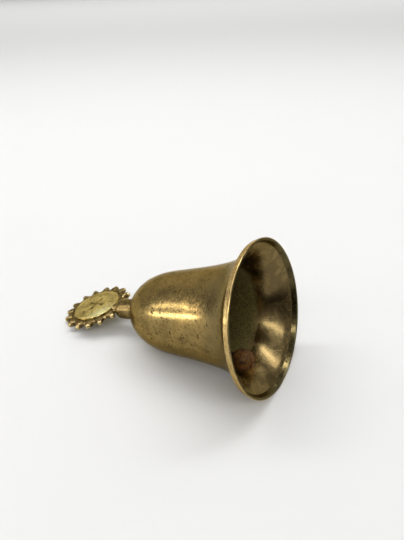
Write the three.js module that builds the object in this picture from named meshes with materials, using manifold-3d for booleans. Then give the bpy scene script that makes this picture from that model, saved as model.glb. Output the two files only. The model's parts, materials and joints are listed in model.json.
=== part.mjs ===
// A small cast-brass sanctus bell lying on its side, with its sunburst handle and iron clapper.
// Millimetres, +Z up. The origin is on the supporting surface, under the middle of the whole bell.
// Inside the bell's own group +X runs along the bell's axis and out of the mouth, the mouth plane is
// x = 0, and a "station" is a distance back from the mouth plane.
import * as THREE from "three";
import { mergeVertices } from "three/addons/utils/BufferGeometryUtils.js";
import Module from "manifold-3d";

const wasm = await Module();
wasm.setup();

// Driving dimensions of the bell.
const MOUTH_RADIUS = 40;
const BELL_HEIGHT = 84;
const WALL = 2.5;
const LIP_WIDTH = 2.9; // the raised ring behind the mouth edge
const LIP_BACK_RADIUS = 39.2;
const LIP_STEP_STATION = 3.3;
const LIP_FACE_INNER_RADIUS = 37.7;
const BEVEL_DEPTH = 2.6;
const WAIST_RADIUS = 23.8; // outer radius where the straight waist meets the shoulder
const WAIST_STATION = 50;
const WAIST_TAPER = 0.09;
const FLARE_SIZE = 10.9;
const FLARE_LENGTH = 10;
const CROWN_RADIUS = 5.5;
const SHOULDER_SHARPNESS = 2.1;
const SHOULDER_FULLNESS = 1.5;
const FACETS = 24; // even steps round the bell, with one flat face turned straight down

// Handle: a turned collar, then the sunburst casting with an engraved plate on each side.
const GAP = 0.3; // clearance between neighbouring pieces
const COLLAR_RADIUS = 5.8;
const COLLAR_TOP_RADIUS = 3.8;
const COLLAR_TOP_STATION = 98.8;
const COLLAR_ROUNDING = 3.6;
const BORE_RADIUS = 2.1;
const SHANK_RADIUS = BORE_RADIUS - GAP;
const SUN_STATION = 117.5;
const SUN_RADIUS = 21.6;
const CORE_RADIUS = 16.2;
const CORE_HALF = 0.8;
const PLATE_RADIUS = 14.5;
const PLATE_THICKNESS = 0.9;
const RAY_PLACES = 16; // the place that faces the bell is taken by the throat
const RAY_TIP_RADIUS = 1.85;
const RAY_NOSE = 1; // where the tip starts to round off, back from its end
const RAY_NOSE_RADIUS = 1.6;
const RAY_ROOT_RADIUS = 1.6;
const THROAT_RADIUS = 3;
const TANG_END_STATION = 90.2;

// Clapper and the ironwork that hangs it.
const HINGE_STATION = 69;
const SWING_ROLL = THREE.MathUtils.degToRad(45); // how far the swing plane is turned from upright
const EYE_RADIUS = 3.2;
const EYE_WIRE = 1;
const SHANK_TOP_STATION = 89.6;
const WASHER_RADIUS = 4.6;
const WASHER_THICKNESS = 0.8;
const NUT_RADIUS = 4.2;
const NUT_THICKNESS = 2.6;
const LOOP_RADIUS = 2.4;
const LOOP_WIRE = 0.8;
const ROD_RADIUS = 1.1;
const BALL_RADIUS = 5.8;
const BALL_STATION = 11;
const TAIL_RADIUS = 1.9;
const TAIL_THICKNESS = 0.8;

// Outer radius of the waist and flare at a station.
function flareRadius(station) {
  const taper = WAIST_RADIUS + WAIST_TAPER * (WAIST_STATION - station);
  return taper + FLARE_SIZE * Math.exp(-station / FLARE_LENGTH);
}

// How fast the flare widens towards the mouth, as a slope.
function flareSlope(station) {
  return WAIST_TAPER + (FLARE_SIZE / FLARE_LENGTH) * Math.exp(-station / FLARE_LENGTH);
}

// Stations and radii from the lip back to the waist, closer together where the flare is tight.
function flareOutline(from, thickness, steps) {
  const points = [];
  for (let i = 0; i <= steps; i++) {
    const station = from + (WAIST_STATION - from) * (i / steps) ** 1.5;
    points.push([station, flareRadius(station) - thickness]);
  }
  return points;
}

// The rounded shoulder, from the waist up to the flat of the crown.
function shoulderOutline(topStation, thickness, steps) {
  const waist = flareRadius(WAIST_STATION) - thickness;
  const points = [];
  for (let i = 1; i <= steps; i++) {
    const angle = (Math.PI / 2) * (i / steps);
    const rise = Math.sin(angle) ** (2 / SHOULDER_SHARPNESS);
    const reach = Math.max(Math.cos(angle), 0) ** (2 / SHOULDER_FULLNESS);
    points.push([
      WAIST_STATION + (topStation - WAIST_STATION) * rise,
      CROWN_RADIUS + (waist - CROWN_RADIUS) * reach,
    ]);
  }
  return points;
}

// Turns a closed outline of [station, radius] points about the bell's axis. The radii are those of the
// flats, so the corners of the facets stand a little outside them, and a flat faces straight down.
function turned(outline, facets = FACETS) {
  const corner = 1 / Math.cos(Math.PI / facets);
  const points = outline.map(([station, radius]) => new THREE.Vector2(radius * corner, -station));
  if (THREE.ShapeUtils.area(points) < 0) points.reverse();
  if (points[0].x > 0) points.push(points[0].clone());
  const geometry = new THREE.LatheGeometry(points, facets, Math.PI / facets);
  return geometry.rotateZ(-Math.PI / 2);
}

// A round bar along X.
function bar(radius, from, to, facets = 12) {
  const outline = [[-from, 0], [-from, radius], [-to, radius], [-to, 0]];
  return turned(outline, facets);
}

// A wire ring about Y, centred on the origin.
function wireRing(radius, wire, facets = 20, sides = 8) {
  const points = [];
  for (let i = 0; i <= sides; i++) {
    const angle = (2 * Math.PI * i) / sides;
    points.push(new THREE.Vector2(radius + wire * Math.cos(angle), wire * Math.sin(angle)));
  }
  return new THREE.LatheGeometry(points, facets);
}

// A geometry as a manifold-3d solid.
function solidOf(geometry) {
  const bare = geometry.index ? geometry.toNonIndexed() : geometry.clone();
  bare.deleteAttribute("normal");
  bare.deleteAttribute("uv");
  const merged = mergeVertices(bare, 1e-4);
  const vertProperties = new Float32Array(merged.attributes.position.array);
  const triVerts = new Uint32Array(merged.index.array);
  return new wasm.Manifold(new wasm.Mesh({ numProp: 3, vertProperties, triVerts }));
}

// Joins several geometries into one body.
function joined(...geometries) {
  const whole = geometries.map(solidOf).reduce((sum, piece) => sum.add(piece));
  const mesh = whole.getMesh();
  const geometry = new THREE.BufferGeometry();
  geometry.setAttribute("position", new THREE.BufferAttribute(mesh.vertProperties, 3));
  geometry.setIndex(new THREE.BufferAttribute(mesh.triVerts, 1));
  return geometry;
}

const FINISHES = {
  agedBrass: { color: 0x7d6336, roughness: 0.42, metalness: 1 },
  plateBrass: { color: 0xa8904d, roughness: 0.34, metalness: 1 },
  rustyIron: { color: 0x4a2c1a, roughness: 0.85, metalness: 0.4 },
  darkIron: { color: 0x3a332c, roughness: 0.6, metalness: 0.8 },
};

function piece(name, geometry, finish) {
  const mesh = new THREE.Mesh(geometry, new THREE.MeshStandardMaterial(FINISHES[finish]));
  mesh.name = name;
  return mesh;
}

// The bell: lip ring, flare, waist and shoulder outside, and the same shape a wall's thickness inside,
// with a hole through the crown for the eyebolt.
function makeBellBody() {
  const crownInside = BELL_HEIGHT - WALL;
  const outside = [
    [0, MOUTH_RADIUS],
    [LIP_WIDTH, LIP_BACK_RADIUS],
    ...flareOutline(LIP_STEP_STATION, 0, 10),
    ...shoulderOutline(BELL_HEIGHT, 0, 12),
    [BELL_HEIGHT, BORE_RADIUS],
  ];
  const inside = [
    [0, LIP_FACE_INNER_RADIUS],
    ...flareOutline(BEVEL_DEPTH, WALL, 10),
    ...shoulderOutline(crownInside, WALL, 10),
    [crownInside, BORE_RADIUS],
  ];
  return piece("bell_body", turned([...outside, ...inside.reverse()]), "agedBrass");
}

// The squat turned collar between the crown and the handle.
function makeNeckCollar() {
  const foot = BELL_HEIGHT + GAP;
  const outline = [
    [foot, BORE_RADIUS],
    [foot, COLLAR_RADIUS - 0.4],
    [foot + 0.6, COLLAR_RADIUS],
  ];
  const roundSteps = 5;
  for (let i = 0; i <= roundSteps; i++) {
    const angle = (Math.PI / 2) * (i / roundSteps);
    outline.push([
      COLLAR_TOP_STATION - COLLAR_ROUNDING * (1 - Math.sin(angle)),
      COLLAR_TOP_RADIUS + (COLLAR_RADIUS - COLLAR_TOP_RADIUS) * Math.cos(angle),
    ]);
  }
  outline.push([COLLAR_TOP_STATION, BORE_RADIUS]);
  return piece("neck_collar", turned(outline), "agedBrass");
}

// One finger-like ray along X, with a bulbous tip.
function makeRay() {
  const root = CORE_RADIUS - 1.6;
  const outline = [
    [-root, 0],
    [-root, RAY_ROOT_RADIUS],
    [-(CORE_RADIUS + 1), RAY_ROOT_RADIUS],
    [-(SUN_RADIUS - 2.4), RAY_TIP_RADIUS],
    [-(SUN_RADIUS - RAY_NOSE), RAY_NOSE_RADIUS],
    [-(SUN_RADIUS - RAY_NOSE / 3), RAY_NOSE_RADIUS * 0.6],
    [-SUN_RADIUS, 0],
  ];
  return turned(outline, 8);
}

// Core disc, ring of rays, throat and the tang that enters the collar, cast in one.
// It is centred on the sun's middle, and its disc lies across Z.
function makeSunburst() {
  const disc = new THREE.CylinderGeometry(CORE_RADIUS, CORE_RADIUS, 2 * CORE_HALF, 48);
  disc.rotateX(Math.PI / 2);
  const throatEnd = SUN_STATION - COLLAR_TOP_STATION - GAP;
  const throat = bar(THROAT_RADIUS, CORE_RADIUS - 1, throatEnd, 16);
  const tang = bar(SHANK_RADIUS, throatEnd - 1, SUN_STATION - TANG_END_STATION);
  const rays = [];
  for (let i = 1; i < RAY_PLACES; i++) {
    rays.push(makeRay().rotateZ((2 * Math.PI * i) / RAY_PLACES));
  }
  return piece("sunburst_casting", joined(disc, throat, tang, ...rays), "agedBrass");
}

// A round sheet plate with a softened edge, lying just off one side (+1 or -1) of the core disc.
function makePlate(name, side) {
  const inner = CORE_HALF + GAP;
  const outer = inner + PLATE_THICKNESS;
  const ease = 0.3;
  const points = [
    new THREE.Vector2(0, inner),
    new THREE.Vector2(PLATE_RADIUS - ease, inner),
    new THREE.Vector2(PLATE_RADIUS, inner + ease),
    new THREE.Vector2(PLATE_RADIUS, outer - ease),
    new THREE.Vector2(PLATE_RADIUS - ease, outer),
    new THREE.Vector2(0, outer),
  ];
  const geometry = new THREE.LatheGeometry(points, 48).rotateX((side * Math.PI) / 2);
  return piece(name, geometry, "plateBrass");
}

// Iron eyebolt: the shank runs through the crown into the collar, and the eye hangs below the nut.
// The eye stands across the swing plane, and its lowest wire passes through the hinge point.
function makeEyebolt() {
  const eyeStation = HINGE_STATION + EYE_RADIUS;
  const eye = wireRing(EYE_RADIUS, EYE_WIRE).rotateX(Math.PI / 2).translate(-eyeStation, 0, 0);
  const shank = bar(SHANK_RADIUS, -SHANK_TOP_STATION, -(eyeStation + EYE_RADIUS));
  return piece("clapper_eyebolt", joined(eye, shank), "darkIron");
}

function makeWasher() {
  const top = BELL_HEIGHT - WALL - GAP;
  const outline = [
    [top, BORE_RADIUS],
    [top, WASHER_RADIUS],
    [top - WASHER_THICKNESS, WASHER_RADIUS],
    [top - WASHER_THICKNESS, BORE_RADIUS],
  ];
  return piece("crown_washer", turned(outline, 20), "darkIron");
}

function makeNut() {
  const hexagon = new THREE.Shape();
  for (let i = 0; i < 6; i++) {
    const angle = (Math.PI / 3) * i;
    const move = i === 0 ? "moveTo" : "lineTo";
    hexagon[move](NUT_RADIUS * Math.cos(angle), NUT_RADIUS * Math.sin(angle));
  }
  hexagon.closePath();
  const hole = new THREE.Path().absarc(0, 0, BORE_RADIUS, 0, 2 * Math.PI, true);
  hexagon.holes.push(hole);
  const options = { depth: NUT_THICKNESS, bevelEnabled: false, curveSegments: 8 };
  const top = BELL_HEIGHT - WALL - 2 * GAP - WASHER_THICKNESS;
  const geometry = new THREE.ExtrudeGeometry(hexagon, options).rotateY(Math.PI / 2);
  return piece("crown_nut", geometry.translate(-top, 0, 0), "darkIron");
}

// The clapper hangs with its loop round the eye, and lies against the inside of the flare. The ball
// touches there, so its distance from the axis is the inner radius less the ball across the slope.
const slopeAngle = Math.atan(flareSlope(BALL_STATION));
const ballReach = flareRadius(BALL_STATION) - WALL - (BALL_RADIUS + GAP) / Math.cos(slopeAngle);
const ballDrop = HINGE_STATION - BALL_STATION;
const ballDistance = Math.hypot(ballDrop, ballReach);
const restAngle = Math.atan2(ballReach, ballDrop);

// Rod with its loop at the hinge and a peened tail past the ball.
function makeClapperRod() {
  const loop = wireRing(LOOP_RADIUS, LOOP_WIRE);
  const seat = ballDistance + Math.sqrt(BALL_RADIUS ** 2 - (ROD_RADIUS + GAP) ** 2) + GAP;
  const rod = bar(ROD_RADIUS, LOOP_RADIUS, seat + TAIL_THICKNESS / 2);
  const tail = bar(TAIL_RADIUS, seat, seat + TAIL_THICKNESS);
  return piece("clapper_rod", joined(loop, rod, tail), "rustyIron");
}

// Ball, bored for the rod.
function makeClapperBall() {
  const bore = ROD_RADIUS + GAP;
  const first = Math.asin(bore / BALL_RADIUS);
  const steps = 10;
  const outline = [];
  for (let i = 0; i <= steps; i++) {
    const angle = first + ((Math.PI - 2 * first) * i) / steps;
    outline.push([BALL_RADIUS * Math.cos(angle), BALL_RADIUS * Math.sin(angle)]);
  }
  const ball = turned(outline, 20).translate(ballDistance, 0, 0);
  return piece("clapper_ball", ball, "rustyIron");
}

const sun = new THREE.Group();
sun.position.x = -SUN_STATION;
sun.add(makeSunburst(), makePlate("front_plate", 1), makePlate("back_plate", -1));

const clapper = new THREE.Group();
clapper.position.x = -HINGE_STATION;
clapper.rotation.y = restAngle;
clapper.add(makeClapperRod(), makeClapperBall());

const hanging = new THREE.Group();
hanging.rotation.x = -SWING_ROLL;
hanging.add(makeEyebolt(), makeWasher(), makeNut(), clapper);

const bell = new THREE.Group();
bell.add(makeBellBody(), makeNeckCollar(), sun, hanging);

// The bell lies on the back edge of its lip ring and on the tips of two neighbouring rays, which tips
// its axis up at the mouth and rolls the sun a little. The shoulder just clears the surface.
const restRise = LIP_BACK_RADIUS - RAY_NOSE_RADIUS;
const restRun = SUN_STATION + SUN_RADIUS - RAY_NOSE - LIP_WIDTH;
const tilt = Math.atan2(restRise, restRun);
sun.rotation.x = Math.asin(Math.tan(Math.PI / RAY_PLACES) * Math.tan(tilt));
bell.rotation.y = -tilt;
bell.position.z = LIP_BACK_RADIUS * Math.cos(tilt) + LIP_WIDTH * Math.sin(tilt);

const sanctusBell = new THREE.Group();
sanctusBell.add(bell);
const extent = new THREE.Box3().setFromObject(sanctusBell, true);
bell.position.x = -(extent.min.x + extent.max.x) / 2;

export default sanctusBell;
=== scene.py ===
import json
from math import acos, asin, atan, atan2, cos, exp, hypot, pi, radians, sin, sqrt, tan

import bmesh
import bpy
import numpy as np
from mathutils import Matrix, Vector


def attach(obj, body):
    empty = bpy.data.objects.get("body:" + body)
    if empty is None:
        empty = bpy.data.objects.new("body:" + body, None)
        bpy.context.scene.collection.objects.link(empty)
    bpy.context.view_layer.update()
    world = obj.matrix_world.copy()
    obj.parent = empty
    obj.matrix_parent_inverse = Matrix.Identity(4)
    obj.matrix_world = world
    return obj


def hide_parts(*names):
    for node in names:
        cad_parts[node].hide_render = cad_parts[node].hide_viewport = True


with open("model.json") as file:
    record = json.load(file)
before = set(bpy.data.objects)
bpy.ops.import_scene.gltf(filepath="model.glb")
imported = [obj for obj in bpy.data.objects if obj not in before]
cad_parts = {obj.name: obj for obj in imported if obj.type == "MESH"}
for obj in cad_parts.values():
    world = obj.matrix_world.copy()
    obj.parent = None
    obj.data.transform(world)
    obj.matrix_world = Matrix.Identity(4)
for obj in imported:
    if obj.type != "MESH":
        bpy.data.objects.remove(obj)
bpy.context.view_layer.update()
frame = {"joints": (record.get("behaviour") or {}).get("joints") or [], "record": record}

mm = 0.001


# where the bell lies
# The bell's own frame: +X out of the mouth along the axis, Y across, origin in the mouth plane.

bellPlace = {
    "hingeStation": 69 * mm,  # how far the clapper's hinge is behind the mouth plane
    "sunStation": 117.5 * mm,
    "rayPlaces": 16,
    "swingRoll": radians(45),
}

joint = frame["joints"][0]
mouthMount = frame["record"]["mounts"][0]
axisDirection = Vector(mouthMount["axis"]).normalized()
acrossDirection = Vector((0, 1, 0))
mouthCentre = Vector(joint["pos_m"]) + axisDirection * bellPlace["hingeStation"]


def frameMatrix(origin, alongX, alongY):
    alongZ = alongX.cross(alongY)
    turn = Matrix((alongX, alongY, alongZ)).transposed().to_4x4()
    return Matrix.Translation(origin) @ turn


bellMatrix = frameMatrix(mouthCentre, axisDirection, acrossDirection)
tilt = asin(axisDirection.z)
sunRoll = asin(tan(pi / bellPlace["rayPlaces"]) * tan(tilt))
sunMatrix = (
    bellMatrix
    @ Matrix.Translation((-bellPlace["sunStation"], 0, 0))
    @ Matrix.Rotation(sunRoll, 4, "X")
)
hangMatrix = bellMatrix @ Matrix.Rotation(-bellPlace["swingRoll"], 4, "X")


# short ways to add nodes

def setInputs(tree, node, inputs):
    # a value that is itself a socket is linked, and any other is typed in
    for socket, value in inputs.items():
        if isinstance(value, bpy.types.NodeSocket):
            tree.links.new(value, node.inputs[socket])
        else:
            node.inputs[socket].default_value = value


def addNode(tree, kind, inputs=None, **properties):
    node = tree.nodes.new(kind)
    for name, value in properties.items():
        setattr(node, name, value)
    setInputs(tree, node, inputs or {})
    return node


def maths(tree, operation, first, second=0.0, clamp=False):
    node = addNode(tree, "ShaderNodeMath", {0: first, 1: second}, operation=operation)
    node.use_clamp = clamp
    return node.outputs[0]


def times(tree, first, second):
    return maths(tree, "MULTIPLY", first, second)


def remap(tree, value, low, high, toLow=0.0, toHigh=1.0):
    inputs = {"Value": value, "From Min": low, "From Max": high, "To Min": toLow, "To Max": toHigh}
    return addNode(tree, "ShaderNodeMapRange", inputs, interpolation_type="SMOOTHSTEP").outputs[0]


def opaque(colour):
    return (*colour, 1) if isinstance(colour, tuple) else colour


def mixColour(tree, factor, first, second):
    inputs = {0: factor, 6: opaque(first), 7: opaque(second)}
    return addNode(tree, "ShaderNodeMix", inputs, data_type="RGBA").outputs[2]


def mixValue(tree, factor, first, second):
    return addNode(tree, "ShaderNodeMix", {0: factor, 2: first, 3: second}).outputs[0]


def noise(tree, vector, size, detail=3.0, roughness=0.55, distortion=0.0):
    # size is how big the blotches are, in metres
    inputs = {"Vector": vector, "Scale": 1 / size, "Detail": detail}
    inputs.update({"Roughness": roughness, "Distortion": distortion})
    return addNode(tree, "ShaderNodeTexNoise", inputs).outputs[0]


def cells(tree, vector, size):
    inputs = {"Vector": vector, "Scale": 1 / size}
    return addNode(tree, "ShaderNodeTexVoronoi", inputs).outputs["Distance"]


def objectPlace(tree):
    return addNode(tree, "ShaderNodeTexCoord").outputs["Object"]


def stretched(tree, vector, scale):
    return addNode(tree, "ShaderNodeMapping", {"Vector": vector, "Scale": scale}).outputs[0]


def bumps(tree, *layers):
    # each layer is a pattern and the height of a full step in it, in metres
    below = {}
    for height, depth in layers:
        inputs = {"Height": height, "Distance": depth, **below}
        below = {"Normal": addNode(tree, "ShaderNodeBump", inputs).outputs[0]}
    return below


def placedCoordinates(tree, matrix):
    # object coordinates seen from a piece's own frame
    location, rotation, _ = matrix.decompose()
    inputs = {"Vector": objectPlace(tree), "Location": location, "Rotation": rotation.to_euler("XYZ")}
    return addNode(tree, "ShaderNodeMapping", inputs, vector_type="TEXTURE").outputs[0]


def newMaterial(name):
    material = bpy.data.materials.new(name)
    material.use_nodes = True
    material.node_tree.nodes.clear()
    tree = material.node_tree
    shader = addNode(tree, "ShaderNodeBsdfPrincipled")
    output = addNode(tree, "ShaderNodeOutputMaterial")
    tree.links.new(shader.outputs[0], output.inputs[0])
    return material, tree, shader


# finishes of the metals

def depthInside(tree, place):
    # how far back a point lies from the mouth plane
    alongAxis = addNode(tree, "ShaderNodeSeparateXYZ", {0: place}).outputs[0]
    return times(tree, alongAxis, -1)


def agedBrass(name, matrix, look):
    # brass with a mottled patina, dark specks, pits, fine scratches and turning marks
    material, tree, shader = newMaterial(name)
    place = placedCoordinates(tree, matrix)
    mottle = noise(tree, place, look["mottleSize"], 5, 0.62, 0.4)
    grain = noise(tree, place, look["grainSize"], 4, 0.6)
    clouds = noise(tree, place, look["cloudSize"], 3, 0.5, 0.8)
    colour = mixColour(tree, remap(tree, mottle, *look["middleWhere"]), look["dark"], look["middle"])
    colour = mixColour(tree, remap(tree, clouds, *look["lightWhere"]), colour, look["light"])
    colour = mixColour(tree, remap(tree, grain, *look["stainWhere"]), colour, look["stain"])
    speckles = cells(tree, place, look["speckSize"])
    crowd = noise(tree, place, look["speckSize"] * look["speckCrowding"], 2)
    reach = remap(tree, crowd, look["speckStart"], look["speckFull"], 0, look["speckReach"])
    speck = remap(tree, maths(tree, "SUBTRACT", speckles, reach), *look["speckEdge"])
    colour = mixColour(tree, times(tree, speck, look["speckCover"]), colour, look["speck"])
    # a painted reflection: the flare near the mouth is greyed and darkened as if reflecting grey
    # surroundings
    if look.get("paintedReflectionBand"):
        wander = times(tree, clouds, look["paintedReflectionWander"])
        station = maths(tree, "ADD", depthInside(tree, place), wander)
        colour = mixColour(tree, remap(tree, station, *look["paintedReflectionBand"]), colour, look["paintedReflection"])
    # hollows are darkened: on the sunburst partly patina and partly painted shade, on the plates in the
    # grooves
    if look.get("hollowDarkening"):
        groove = addNode(tree, "ShaderNodeAttribute", attribute_name="hollowDarkening").outputs["Fac"]
        colour = mixColour(tree, times(tree, groove, look["hollowDarkening"]), colour, look["speck"])
    # brightened: wear and a painted highlight on the sunburst's raised edges, a painted highlight on the
    # plates
    if look.get("wearAndSheen"):
        wearAndSheenShare = addNode(tree, "ShaderNodeAttribute", attribute_name="wearAndSheen").outputs["Fac"]
        colour = mixColour(tree, wearAndSheenShare, colour, look["wearAndSheen"])
    turning = noise(tree, stretched(tree, place, look["turningStretch"]), look["turningSize"], 2, 0.5)
    wear = noise(tree, place, look["wearSize"], 4, 0.7)
    finish = remap(tree, wear, *look["wearWhere"], *look["roughness"])
    finish = maths(tree, "ADD", finish, times(tree, speck, look["speckDullness"]), True)
    if look.get("wearAndSheen"):
        finish = times(tree, finish, remap(tree, wearAndSheenShare, 0, 1, 1, look["wornPolish"]))
    unpitted = maths(tree, "SUBTRACT", 1.0, speck)
    surface = bumps(
        tree,
        (mottle, look["waveDepth"]),
        (grain, look["grainDepth"]),
        (turning, look["turningDepth"]),
        (unpitted, look["pitDepth"]),
    )
    setInputs(tree, shader, {"Base Color": colour, "Metallic": 1, "Roughness": finish, **surface})
    shader.inputs["Specular Tint"].default_value = opaque(look["edgeTint"])
    return material


def insideBrass(name, matrix, look):
    # polished flare near the mouth, sandy as-cast metal deeper in
    material, tree, shader = newMaterial(name)
    place = placedCoordinates(tree, matrix)
    depth = depthInside(tree, place)
    edge = noise(tree, place, look["edgeSize"], 3)
    wander = times(tree, maths(tree, "SUBTRACT", edge, 0.5), look["edgeWander"])
    rough = remap(tree, maths(tree, "ADD", depth, wander), look["polishEnd"], look["sandStart"])
    mottle = noise(tree, place, look["mottleSize"], 4, 0.6, 0.5)
    sand = noise(tree, place, look["sandSize"], 4, 0.7)
    polished = mixColour(tree, remap(tree, mottle, *look["polishWhere"]), *look["polish"])
    sandy = mixColour(tree, remap(tree, sand, *look["sandWhere"]), *look["sand"])
    colour = mixColour(tree, rough, polished, sandy)
    chatter = noise(tree, stretched(tree, place, look["chatterStretch"]), look["chatterSize"], 2)
    finish = times(tree, mottle, look["polishRoughness"])
    finish = maths(tree, "ADD", finish, look["polishRoughness"] * 0.5)
    finish = mixValue(tree, rough, finish, look["sandRoughness"])
    grit = times(tree, sand, rough)
    layers = ((chatter, look["chatterDepth"]), (grit, look["sandDepth"]), (mottle, look["waveDepth"]))
    metal = remap(tree, rough, 0, 1, 1.0, look["sandMetal"])
    inputs = {"Base Color": colour, "Metallic": metal, "Roughness": finish}
    setInputs(tree, shader, {**inputs, **bumps(tree, *layers)})
    shader.inputs["Specular Tint"].default_value = opaque(look["edgeTint"])
    return material


def rustyIron(name, matrix, look):
    # flaking reddish rust over dark iron
    material, tree, shader = newMaterial(name)
    place = placedCoordinates(tree, matrix)
    patches = noise(tree, place, look["patchSize"], 5, 0.65, 0.6)
    grain = noise(tree, place, look["grainSize"], 4, 0.7)
    rust = remap(tree, patches, look["bare"], look["bare"] + look["bareEdge"])
    crust = mixColour(tree, remap(tree, grain, *look["crustWhere"]), *look["rust"])
    colour = mixColour(tree, rust, look["iron"], crust)
    metal = remap(tree, rust, 0, 1, *look["metal"])
    finish = remap(tree, rust, 0, 1, look["ironRoughness"], look["rustRoughness"])
    surface = bumps(tree, (patches, look["crustDepth"]), (grain, look["grainDepth"]))
    inputs = {"Base Color": colour, "Metallic": metal, "Roughness": finish}
    setInputs(tree, shader, {**inputs, **surface, "Specular IOR Level": look["gloss"]})
    return material


# shapes that are turned on a lathe or repeated

def addSocket(tree, name, kind, direction="INPUT"):
    return tree.interface.new_socket(name, in_out=direction, socket_type="NodeSocket" + kind)


def startTree(name, sizes):
    # a tree is given a shape, its own sizes and a material
    tree = bpy.data.node_groups.new(name, "GeometryNodeTree")
    addSocket(tree, "Geometry", "Geometry")
    for title, value in sizes.items():
        addSocket(tree, title, "Int" if isinstance(value, int) else "Float").default_value = value
    addSocket(tree, "Material", "Material")
    addSocket(tree, "Geometry", "Geometry", "OUTPUT")
    return tree, addNode(tree, "NodeGroupInput").outputs


def endTree(tree, given, shape):
    real = addNode(tree, "GeometryNodeRealizeInstances", {0: shape.outputs[0]})
    inputs = {"Geometry": real.outputs[0], "Material": given["Material"]}
    coated = addNode(tree, "GeometryNodeSetMaterial", inputs)
    addNode(tree, "NodeGroupOutput", {0: coated.outputs[0]})
    return tree


def turnedTree():
    # spins an outline of (x, radius) points about X, then makes the metal a little uneven
    sizes = {"Steps Round": 192, "Unevenness": 0.0, "Wave Size": 0.01, "Seed": 1.0}
    tree, given = startTree("turnedOutline", sizes)
    outline = given["Geometry"]
    count = addNode(tree, "GeometryNodeAttributeDomainSize", {0: outline}).outputs["Point Count"]
    perRow = maths(tree, "ADD", given["Steps Round"], 1)
    grid = addNode(tree, "GeometryNodeMeshGrid", {"Vertices X": count, "Vertices Y": perRow})
    index = addNode(tree, "GeometryNodeInputIndex").outputs[0]
    row = maths(tree, "FLOOR", maths(tree, "DIVIDE", maths(tree, "ADD", index, 0.5), perRow))
    column = maths(tree, "SUBTRACT", index, times(tree, row, perRow))
    place = addNode(tree, "GeometryNodeInputPosition").outputs[0]
    inputs = {"Geometry": outline, "Value": place, "Index": row}
    picked = addNode(tree, "GeometryNodeSampleIndex", inputs, data_type="FLOAT_VECTOR")
    parts = addNode(tree, "ShaderNodeSeparateXYZ", {0: picked.outputs[0]})
    fraction = maths(tree, "DIVIDE", column, given["Steps Round"])
    angle = times(tree, fraction, 2 * pi)
    sideways = times(tree, parts.outputs[1], maths(tree, "SINE", angle))
    upwards = times(tree, parts.outputs[1], maths(tree, "COSINE", angle))
    spun = addNode(tree, "ShaderNodeCombineXYZ", {0: parts.outputs[0], 1: sideways, 2: upwards})
    shaped = addNode(tree, "GeometryNodeSetPosition", {0: grid.outputs[0], "Position": spun.outputs[0]})
    closed = addNode(tree, "GeometryNodeMergeByDistance", {0: shaped.outputs[0], "Distance": 2e-7})
    uneven = unevenOffset(tree, given)
    waved = addNode(tree, "GeometryNodeSetPosition", {0: closed.outputs[0], "Offset": uneven})
    return endTree(tree, given, waved)


def unevenOffset(tree, given):
    place = addNode(tree, "GeometryNodeInputPosition").outputs[0]
    scale = maths(tree, "DIVIDE", 1.0, given["Wave Size"])
    inputs = {"Vector": place, "W": given["Seed"], "Scale": scale, "Detail": 2.0}
    waves = addNode(tree, "ShaderNodeTexNoise", inputs, noise_dimensions="4D").outputs[0]
    height = times(tree, maths(tree, "SUBTRACT", waves, 0.5), given["Unevenness"])
    normal = addNode(tree, "GeometryNodeInputNormal").outputs[0]
    return addNode(tree, "ShaderNodeVectorMath", {0: normal, "Scale": height}, operation="SCALE").outputs[0]


def randomNumber(tree, low, high, seed):
    # sockets 2 and 3 are the ends of the range when the numbers are plain ones
    inputs = {2: low, 3: high, "Seed": seed}
    return addNode(tree, "FunctionNodeRandomValue", inputs, data_type="FLOAT").outputs[1]


def rayRingTree():
    # stands copies of one ray round a circle, leaving the first place free for the throat
    tree, given = startTree("rayRing", {"Places": 16, "Size Change": 0.0, "Lean": 0.0, "Seed": 3})
    rayCount = maths(tree, "SUBTRACT", given["Places"], 1)
    points = addNode(tree, "GeometryNodeMeshLine", {"Count": rayCount, "Offset": (0, 0, 0)})
    index = addNode(tree, "GeometryNodeInputIndex").outputs[0]
    turn = maths(tree, "DIVIDE", maths(tree, "ADD", index, 1), given["Places"])
    smallest = maths(tree, "SUBTRACT", 1.0, given["Size Change"])
    size = randomNumber(tree, smallest, 1.0, given["Seed"])
    leanBack = times(tree, given["Lean"], -1)
    aside = randomNumber(tree, leanBack, given["Lean"], maths(tree, "ADD", given["Seed"], 7))
    around = maths(tree, "ADD", times(tree, turn, 2 * pi), aside)
    rotation = addNode(tree, "ShaderNodeCombineXYZ", {2: around}).outputs[0]
    across = addNode(tree, "ShaderNodeCombineXYZ", {0: 1.0, 1: size, 2: size}).outputs[0]
    inputs = {"Points": points.outputs[0], "Instance": given["Geometry"]}
    inputs.update({"Rotation": rotation, "Scale": across})
    return endTree(tree, given, addNode(tree, "GeometryNodeInstanceOnPoints", inputs))


def newObject(name, mesh):
    made = bpy.data.objects.new(name, mesh)
    bpy.context.scene.collection.objects.link(made)
    return made


def grown(source, tree, settings):
    # runs a node tree on an object, and keeps the result as a plain mesh
    modifier = source.modifiers.new(tree.name, "NODES")
    modifier.node_group = tree
    for item in tree.interface.items_tree:
        if item.in_out == "INPUT" and item.name in settings:
            modifier[item.identifier] = settings[item.name]
    return settled(source)


def settled(source):
    # replaces an object's mesh by what its modifiers make, and drops the modifiers
    graph = bpy.context.evaluated_depsgraph_get()
    graph.update()
    mesh = bpy.data.meshes.new_from_object(source.evaluated_get(graph), depsgraph=graph)
    source.modifiers.clear()
    source.data = mesh
    return source


def smoothShaded(piece, sharpAngle=radians(38)):
    piece.data.shade_smooth()
    piece.data.set_sharp_from_angle(angle=sharpAngle)
    return piece


def coatedWith(piece, material):
    # one material slot, used by every face
    piece.data.materials.clear()
    piece.data.materials.append(material)
    piece.data.polygons.foreach_set("material_index", [0] * len(piece.data.polygons))
    return piece


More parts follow.
